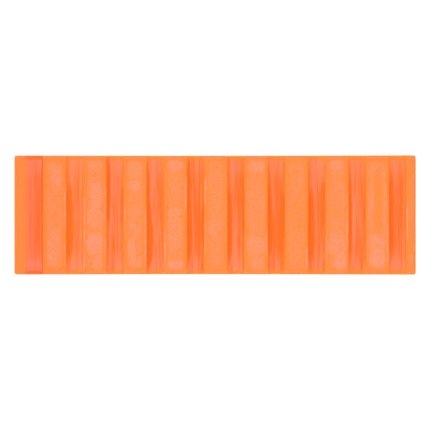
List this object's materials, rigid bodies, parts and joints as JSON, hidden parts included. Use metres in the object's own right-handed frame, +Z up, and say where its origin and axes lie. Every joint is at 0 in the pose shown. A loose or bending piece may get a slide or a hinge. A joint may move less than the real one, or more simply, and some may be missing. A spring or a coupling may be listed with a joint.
{
  "type": "felling wedge",
  "caption": "Solid plastic wedge with a grooved upper and lower face, driven into a saw kerf to hold it open and tip a tree.",
  "frame": {"origin": "middle of the footprint, on the surface the wedge rests on", "axes": "+X from the thin tip to the striking face, +Y across the wedge, +Z up, with the lower lands flat on z = 0"},
  "size_m": [0.2499, 0.074, 0.0297],
  "materials": {
    "orange_plastic": "moulded, semi-gloss with a hazy, lightly scuffed bloom on the lands"
  },
  "bodies": {
    "root": {"wedge_body": "orange_plastic"}
  },
  "joints": []
}
